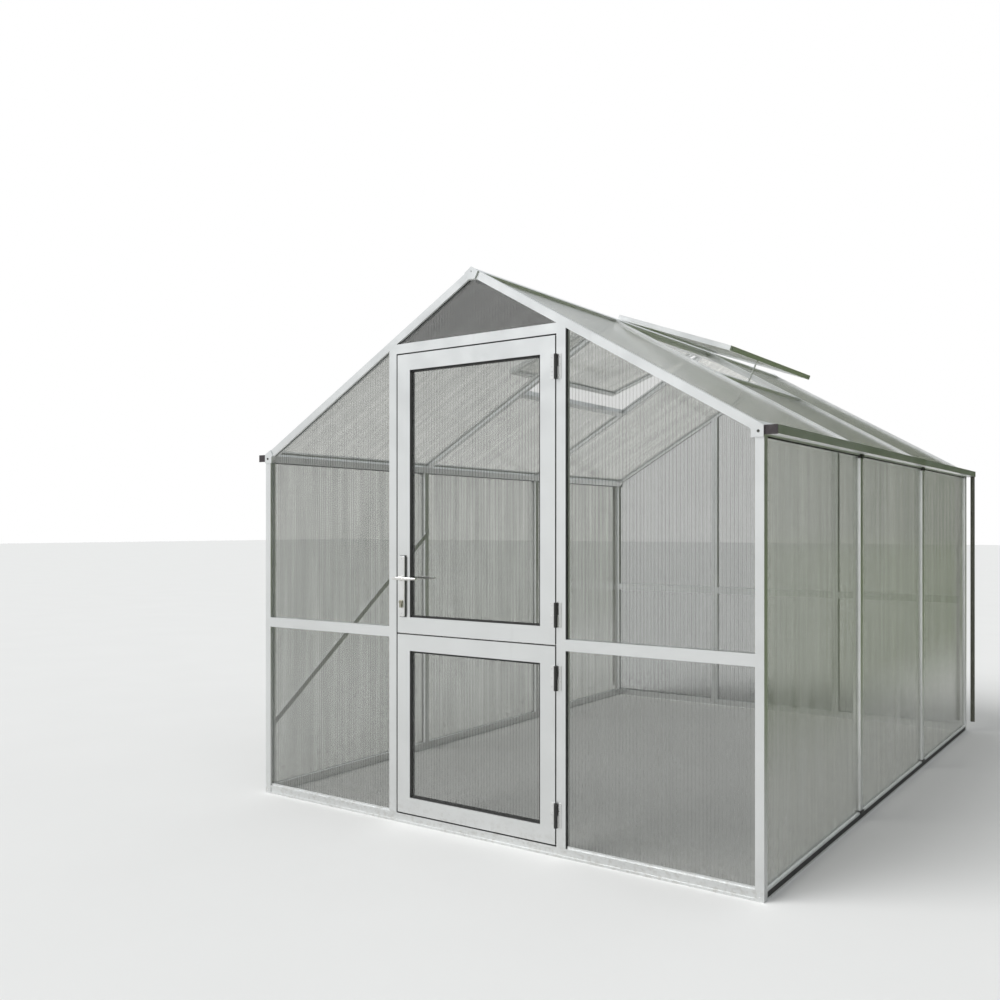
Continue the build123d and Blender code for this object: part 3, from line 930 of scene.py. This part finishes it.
@dataclass
class DoorGapShade:
    """Black strips in the gaps round the leaves, which are painted shade in those gaps."""

    shop: Workshop
    survey: Survey
    depth: float = 24.0 * MM
    stand: float = 1.5 * MM
    inset: float = 1.0 * MM
    end_gap: float = 2.0 * MM
    rounding: float = 0.4 * MM

    def build(self) -> None:
        """Makes the painted shade strips of the door frame and those on the leaves."""
        s = self.survey
        y = s.front + self.inset + self.depth / 2
        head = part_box("door_header")[0].z
        # Painted shade: black strips darken the gaps round the leaves.
        frame_gap_shade = bmesh.new()
        self.strip(frame_gap_shade, (-s.inner_jamb, head), (s.inner_jamb, head), y, Vector((0, 0, -1)))
        self.strip(frame_gap_shade, (-s.inner_jamb, s.base_top), (s.inner_jamb, s.base_top), y, Vector((0, 0, 1)))
        foot = s.base_top + 2 * self.stand
        self.strip(frame_gap_shade, (-s.inner_jamb, foot), (-s.inner_jamb, head - 2 * self.stand), y,
                   Vector((1, 0, 0)))
        self.shop.piece("door_frame_gap_shade", frame_gap_shade, RUBBER_AND_SHADE, Slot.BLACK_PLASTIC, Body.HOUSE)
        for body in LEAVES:
            low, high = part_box(f"{body.value}_stiles")
            gap_shade = bmesh.new()
            foot, top = low.z + self.end_gap, high.z - self.end_gap
            self.strip(gap_shade, (high.x, foot), (high.x, top), y, Vector((1, 0, 0)))
            if body is Body.LOWER_LEAF:
                left, right = low.x + self.end_gap, high.x - self.end_gap
                self.strip(gap_shade, (left, high.z), (right, high.z), y, Vector((0, 0, 1)))
            self.shop.piece(f"{body.value}_seals", gap_shade, RUBBER_AND_SHADE, Slot.BLACK_PLASTIC, body)

    def strip(self, bm: BMesh, start: tuple[float, float], stop: tuple[float, float], y: float,
              out: Vector) -> None:
        """Adds one painted shade strip between two points of the door plane, each given as x and z."""
        self.shop.bar(bm, Vector((start[0], y, start[1])), Vector((stop[0], y, stop[1])), out, self.depth,
                      self.stand, self.rounding)


@dataclass
class Footings:
    """Sill lips at the foot of the gable sheets, and black strips on the long base rails that are painted shade.
    """

    shop: Workshop
    survey: Survey
    lip_height: float = 9.0 * MM
    lip_thickness: float = 3.0 * MM
    shade_strip_height: float = 21.0 * MM
    shade_strip_thickness: float = 3.0 * MM
    shade_strip_recess: float = 0.5 * MM
    rounding: float = 0.8 * MM

    def build(self) -> None:
        """Makes the lips and the painted shade strips."""
        s = self.survey
        lips = bmesh.new()
        for face, out in s.gables:
            y = face - out * s.setback
            for low, high in ((-s.inner_post, -s.outer_jamb), (s.outer_jamb, s.inner_post)):
                z = s.base_top + self.lip_height / 2
                self.shop.bar(lips, Vector((low, y, z)), Vector((high, y, z)), Vector((0, out, 0)),
                              self.lip_height, self.lip_thickness, self.rounding)
        self.shop.piece("sill_lips", lips, FRAME, Slot.COATED, Body.HOUSE)
        # Painted shade: black strips darken the middle of the long base rails' outer faces.
        shade_strips = bmesh.new()
        for side in (-1, 1):
            x = side * (s.half_width - self.shade_strip_thickness - self.shade_strip_recess)
            z = s.base_top / 2
            self.shop.bar(shade_strips, Vector((x, s.front + s.depth, z)), Vector((x, s.back - s.depth, z)),
                          Vector((side, 0, 0)), self.shade_strip_height, self.shade_strip_thickness, self.rounding)
        self.shop.piece("side_base_shade_strips", shade_strips, RUBBER_AND_SHADE, Slot.BLACK_PLASTIC, Body.HOUSE)


@dataclass
class Fixings:
    """Screws in the plates, posts and hinges."""

    shop: Workshop
    survey: Survey
    plate_head: float = 5.5 * MM
    small_head: float = 3.2 * MM
    head_height: float = 2.2 * MM
    plate_inset: float = 0.6
    ridge_share: float = 0.9
    post_rise: float = 0.18
    hinge_rows: Sequence[float] = (-0.36, 0.0, 0.36)
    flap_inset: float = 6.5 * MM
    flap_thickness: float = 3.0 * MM
    flap_head: float = 0.6
    barrel_reach: float = 9.0 * MM
    least_height: float = 0.06
    least_gap: float = 0.12

    def build(self) -> None:
        """Makes the screws of the house and of both leaves."""
        house = bmesh.new()
        bolts = bmesh.new()
        self.plates(house, bolts)
        self.shop.piece("eave_plate_bolts", bolts, BOLT, Slot.MILL, Body.HOUSE)
        self.posts(house)
        self.flaps(house, "door_post_hinges", 1.0)
        self.shop.piece("house_screws", house, MILL, Slot.MILL, Body.HOUSE)
        for body in LEAVES:
            bm = bmesh.new()
            self.flaps(bm, f"{body.value}_hinges", -1.0)
            self.shop.piece(f"{body.value}_screws", bm, MILL, Slot.MILL, body)

    def plates(self, bm: BMesh, bolts: BMesh) -> None:
        """Adds the screws of the ridge plates and the bolts of the eave plates.

        Args:
            bm: The bmesh of the screws.
            bolts: The bmesh of the bolts.
        """
        low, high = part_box("eave_corner_plates")
        s = self.survey
        x = s.half_width - self.plate_inset * s.depth
        z = (low.z + s.eave) / 2
        for y, out in ((low.y, -1.0), (high.y, 1.0)):
            height = s.ridge - self.ridge_share * s.rafter_drop / 2
            self.shop.screw(bm, Vector((0.0, y, height)), Vector((0, out, 0)), self.small_head,
                            self.head_height)
            for side in (-1, 1):
                self.shop.screw(bolts, Vector((side * x, y, z)), Vector((0, out, 0)), self.plate_head,
                                self.head_height)

    def posts(self, bm: BMesh) -> None:
        """Adds the screws that hold the base rails to the corner posts and the side posts.

        Args:
            bm: The bmesh that they are added to.
        """
        s = self.survey
        x = (s.half_width + s.inner_post) / 2
        for side in (-1, 1):
            for y, out in s.gables:
                self.shop.screw(bm, Vector((side * x, y, s.base_top / 2)), Vector((0, out, 0)), self.small_head,
                                self.head_height)
            for line in s.bay_lines()[1:-1]:
                for z in (self.post_rise, s.beam_low - self.post_rise):
                    self.shop.screw(bm, Vector((side * s.half_width, line, z)), Vector((side, 0, 0)),
                                    self.small_head, self.head_height)

    def flaps(self, bm: BMesh, node: str, side: float) -> None:
        """Adds three screws to each hinge flap of a node.

        Args:
            bm: The bmesh that they are added to.
            node: The node with the hinge halves.
            side: 1 for flaps on the post, -1 for flaps on a leaf.
        """
        low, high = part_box(node)
        x = high.x - self.flap_inset if side > 0 else low.x + self.flap_inset
        face = self.survey.front - self.flap_thickness
        for middle, height in self.hinge_spans(node):
            for row in self.hinge_rows:
                self.shop.screw(bm, Vector((x, face, middle + row * height)), Vector((0, -1, 0)),
                                self.small_head, self.flap_head * self.head_height)

    def hinge_spans(self, node: str) -> list[tuple[float, float]]:
        """Middle height and height of each hinge half of a node.

        Args:
            node: The node with the hinge halves.

        Returns:
            One pair for each hinge half, from the lowest up.
        """
        points = (v.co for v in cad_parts[node].data.vertices)
        heights = sorted({round(p.z, 5) for p in points if abs(p.x - HINGES.axis_x) > self.barrel_reach})
        spans = []
        start = heights[0]
        for below, above in zip(heights, heights[1:] + [heights[-1] + 1.0]):
            if above - below > self.least_height and below - start > self.least_height:
                spans.append(((start + below) / 2, below - start))
                start = above
            elif above - below > self.least_gap:
                start = above
        return spans


@dataclass
class DoorFurniture:
    """Small parts of the lock and the handle on the upper leaf."""

    shop: Workshop
    survey: Survey
    rim_shade_margin: float = 2.5 * MM
    rim_shade_proud: float = 1.5 * MM
    key_width: float = 1.6 * MM
    key_height: float = 8.0 * MM
    key_stand: float = 0.3 * MM
    head: float = 3.4 * MM
    head_height: float = 1.2 * MM
    head_inset: float = 14.0 * MM
    rounding: float = 0.5 * MM

    def build(self) -> None:
        """Makes the black rims under the plates and the black key slots, both painted shade, and the plate
        screws.
        """
        low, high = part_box("handle_plates")
        x = (low.x + high.x) / 2
        lock_low, lock_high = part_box("lock_cylinder")
        barrel = (lock_high.x - lock_low.x) / 2
        slots = bmesh.new()
        screws = bmesh.new()
        rim_shade = bmesh.new()
        # Painted shade: black rims that stick out round the handle plates.
        for face, out in ((self.survey.front, -1.0), (self.survey.front + self.survey.depth, 1.0)):
            self.shop.bar(rim_shade, Vector((x, face, low.z - self.rim_shade_margin)),
                          Vector((x, face, high.z + self.rim_shade_margin)), Vector((0, out, 0)),
                          high.x - low.x + 2 * self.rim_shade_margin, self.rim_shade_proud, self.rounding)
        self.shop.piece("handle_plate_rim_shade", rim_shade, RUBBER_AND_SHADE, Slot.BLACK_PLASTIC, Body.UPPER_LEAF)
        # Painted shade: raised black slots stand for the dark keyways of the lock.
        for y, lock_y, out in ((low.y, lock_low.y, -1.0), (high.y, lock_high.y, 1.0)):
            z = lock_high.z - barrel
            self.shop.bar(slots, Vector((x, lock_y, z - self.key_height / 2)),
                          Vector((x, lock_y, z + self.key_height / 2)), Vector((0, out, 0)), self.key_width,
                          self.key_stand)
            for place in (low.z + self.head_inset, high.z - self.head_inset):
                self.shop.screw(screws, Vector((x, y, place)), Vector((0, out, 0)), self.head, self.head_height)
        self.shop.piece("key_slot_shade", slots, RUBBER_AND_SHADE, Slot.BLACK_PLASTIC, Body.UPPER_LEAF)
        self.shop.piece("handle_plate_screws", screws, MILL, Slot.MILL, Body.UPPER_LEAF)


@dataclass
class Studio:
    """Floor, light, camera and the light paths that the sheets need."""

    floor_size: float = 150.0
    floor_pale: Colour = (0.80, 0.80, 0.79, 1.0)
    floor_paler: Colour = (0.83, 0.83, 0.82, 1.0)
    floor_mirrored: Colour = (0.84, 0.84, 0.83, 1.0)
    floor_painted_reflection: Colour = (0.13, 0.17, 0.07, 1.0)
    painted_reflection_from: float = 1.2
    painted_reflection_full: float = 2.6
    eye: Vector = field(default_factory=lambda: Vector((2.4899, -5.1076, 1.2928)))
    heading: float = 35.138
    lens: float = 36.033
    sensor: float = 36.0
    rise: float = 0.02718
    reach: float = 200.0
    dark_side: Vector = field(default_factory=lambda: Vector((0.50, 0.86, 0.05)))
    dark_start: float = 0.20
    dark_full: float = 0.72
    dark_top: float = 0.45
    dark_foot: float = 0.15
    high_from: float = -0.05
    high_full: float = 0.45
    mirror_colour: Colour = (0.96, 0.97, 0.97, 1.0)
    high_colour: Colour = (0.74, 0.77, 0.80, 1.0)
    dark_colour: Colour = (0.050, 0.072, 0.026, 1.0)
    fill_colour: Colour = (0.96, 0.985, 1.0, 1.0)
    ambient: float = 0.48
    key_strength: float = 2.3
    key_softness: float = 40.0
    key_direction: Vector = field(default_factory=lambda: Vector((0.42, 0.62, -0.85)))
    see_through: int = 56
    bounces: int = 5
    diffuse_bounces: int = 2
    glossy_bounces: int = 3

    def build(self) -> None:
        """Sets up the whole studio."""
        self.floor()
        self.sky()
        self.lamp("key", self.key_strength, self.key_softness, self.key_direction)
        self.camera()
        self.paths()

    def floor(self) -> None:
        """Lays a pale floor, whose right side turns dark green in reflections alone: a painted reflection."""
        bm = bmesh.new()
        bmesh.ops.create_grid(bm, x_segments=1, y_segments=1, size=self.floor_size / 2)
        mesh = make_mesh("floor", bm)
        obj = add_object("floor", mesh)
        s = Shader("floor_paper")
        pale = s.blend(s.noise(1.5), self.floor_pale, self.floor_paler)
        # Painted reflection: seen by glossy rays, the floor's right side is dark green.
        dark_side = s.ramp(s.part(s.place, "X"), self.painted_reflection_from, self.painted_reflection_full)
        seen_in_reflections = s.blend(dark_side, self.floor_mirrored, self.floor_painted_reflection)
        mirrored = s.add("ShaderNodeLightPath").outputs["Is Glossy Ray"]
        colour = s.blend(mirrored, pale, seen_in_reflections)
        mesh.materials.append(s.finish(s.add("ShaderNodeBsdfDiffuse", {"Color": colour})))

    def sky(self) -> None:
        """Lights the room softly, with one darker side, and shows white behind the object."""
        world = bpy.data.worlds.new("studio")
        bpy.context.scene.world = world
        world.use_nodes = True
        n = Nodes(world.node_tree)
        look = n.coordinates.outputs["Generated"]
        toward = n.add("ShaderNodeVectorMath", {0: look, 1: self.dark_side.normalized()},
                       operation="DOT_PRODUCT")
        zone = n.ramp(toward.outputs["Value"], self.dark_start, self.dark_full)
        rise = n.part(look, "Z")
        dark = n.math("MULTIPLY", zone, n.ramp(rise, self.dark_top, self.dark_foot))
        high = n.ramp(rise, self.high_from, self.high_full)
        open_sky = n.blend(high, self.mirror_colour, self.high_colour)
        paint = n.blend(dark, open_sky, self.dark_colour)
        path = n.add("ShaderNodeLightPath")
        fill = n.add("ShaderNodeBackground", {"Color": self.fill_colour, "Strength": self.ambient})
        mirror = n.add("ShaderNodeBackground", {"Color": paint, "Strength": 1.0})
        white = n.add("ShaderNodeBackground", {"Color": (1, 1, 1, 1), "Strength": 1.0})
        glossy = n.mix(path.outputs["Is Glossy Ray"], fill, mirror)
        seen = n.mix(path.outputs["Is Camera Ray"], glossy, white)
        n.add("ShaderNodeOutputWorld", {"Surface": seen.outputs[0]})

    def lamp(self, name: str, strength: float, softness: float, direction: Vector) -> None:
        """Adds one sun lamp.

        Args:
            name: Name of the lamp.
            strength: Strength in watts to the square metre.
            softness: Angle of the lamp's disc, in degrees.
            direction: Where its light goes.
        """
        data = bpy.data.lights.new(name, "SUN")
        data.energy = strength
        data.angle = math.radians(softness)
        obj = add_object(name, data)
        obj.rotation_euler = direction.to_track_quat("-Z", "Y").to_euler()

    def camera(self) -> None:
        """Sets the camera to the photograph's view."""
        data = bpy.data.cameras.new("camera")
        data.lens = self.lens
        data.sensor_width = self.sensor
        data.shift_y = self.rise
        data.clip_end = self.reach
        obj = add_object("camera", data)
        obj.location = self.eye
        obj.rotation_euler = (math.radians(90.0), 0.0, math.radians(self.heading))
        bpy.context.scene.camera = obj

    def paths(self) -> None:
        """Lets light pass every rib and skin behind one another."""
        cycles = bpy.context.scene.cycles
        cycles.transparent_max_bounces = self.see_through
        cycles.max_bounces = self.bounces
        cycles.diffuse_bounces = self.diffuse_bounces
        cycles.glossy_bounces = self.glossy_bounces


PIN_OFFSET = 2.0 * MM
BARREL_STANDOFF = 8.5 * MM
# Depth of the handle plates' painted shade out from the leaf's faces.
PLATE_SHADE_DEPTH = 7.0 * MM

SURVEY = Survey.take()
FRAME = SatinMetal("satin_coat", (0.72, 0.73, 0.725, 1.0))
MILL = BareMetal("bare_mill", (0.72, 0.72, 0.72, 1.0))
HANDLE_METAL = BareMetal("bright_lever", (0.80, 0.79, 0.76, 1.0), roughness=0.30)
LOCK_METAL = BareMetal("dull_brass", (0.42, 0.40, 0.32, 1.0), roughness=0.40)
BOLT = BareMetal("bolt_steel", (0.10, 0.10, 0.09, 1.0), roughness=0.45)
BLACK = Plastic("black_moulding", (0.018, 0.017, 0.016, 1.0))
# Black rubber of the gaskets, also the colour of the black strips that are painted shade.
RUBBER_AND_SHADE = Plastic("black_rubber_and_painted_shade", (0.015, 0.015, 0.014, 1.0), roughness=0.6, dustiness=0.15)
BROWN = Plastic("brown_moulding", (0.034, 0.026, 0.029, 1.0))
PIPE = Plastic("pipe_moulding", (0.10, 0.10, 0.075, 1.0))
HINGES = HingeFinish("hinge_painted_shade", axis_x=SURVEY.inner_jamb + PIN_OFFSET,
                     axis_y=SURVEY.front - BARREL_STANDOFF)
PLATES = PlateFinish("handle_plate_painted_shade", middle_y=SURVEY.front + SURVEY.depth / 2,
                     cover_from=SURVEY.depth / 2 + PLATE_SHADE_DEPTH)
GABLE_SHEET = TwinWall("gable_sheet", Across.X)
WALL_SHEET = TwinWall("wall_sheet", Across.Y, (0.865, 0.870, 0.860, 1.0), cloud=0.11, uneven=0.95)
ROOF_SHEET = TwinWall("roof_sheet", Across.Y, (0.905, 0.907, 0.902, 1.0), cloud=0.085, uneven=0.7)
SMOKE_SHEET = TwinWall("smoke_sheet", Across.X, (0.585, 0.585, 0.585, 1.0), milk=(0.30, 0.30, 0.30, 1.0))
GABLE_FLUTES = FluteWalls("gable_flutes", Across.X)
SIDE_FLUTES = FluteWalls("side_flutes", Across.Y, rib_tint=(0.965, 0.965, 0.957, 1.0))
SMOKE_FLUTES = FluteWalls("smoke_flutes", Across.X, (0.93, 0.93, 0.93, 1.0), (0.91, 0.91, 0.91, 1.0))


def main() -> None:
    """Builds every sub-assembly in order."""
    logging.basicConfig(level=logging.INFO, format="%(name)s: %(message)s")
    shop = Workshop()
    shop.dress(FRAME, *(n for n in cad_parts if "sheet" not in n))
    shop.dress(MILL, "vent_stays", "wall_brace")
    shop.dress(BLACK, "side_post_caps")
    shop.dress(BROWN, "gutter_end_caps")
    shop.dress(PIPE, "downpipe")
    shop.dress(HINGES, "door_post_hinges", "upper_leaf_hinges", "lower_leaf_hinges")
    shop.dress(PLATES, "handle_plates")
    shop.dress(HANDLE_METAL, "door_handle")
    shop.dress(LOCK_METAL, "lock_cylinder")
    FlutedSheets(shop, SURVEY).build()
    Gaskets(shop, SURVEY).build()
    DoorGapShade(shop, SURVEY).build()
    Footings(shop, SURVEY).build()
    Fixings(shop, SURVEY).build()
    DoorFurniture(shop, SURVEY).build()
    Studio().build()
    bpy.context.scene.view_settings.view_transform = "Standard"


if __name__ == "__main__":
    main()
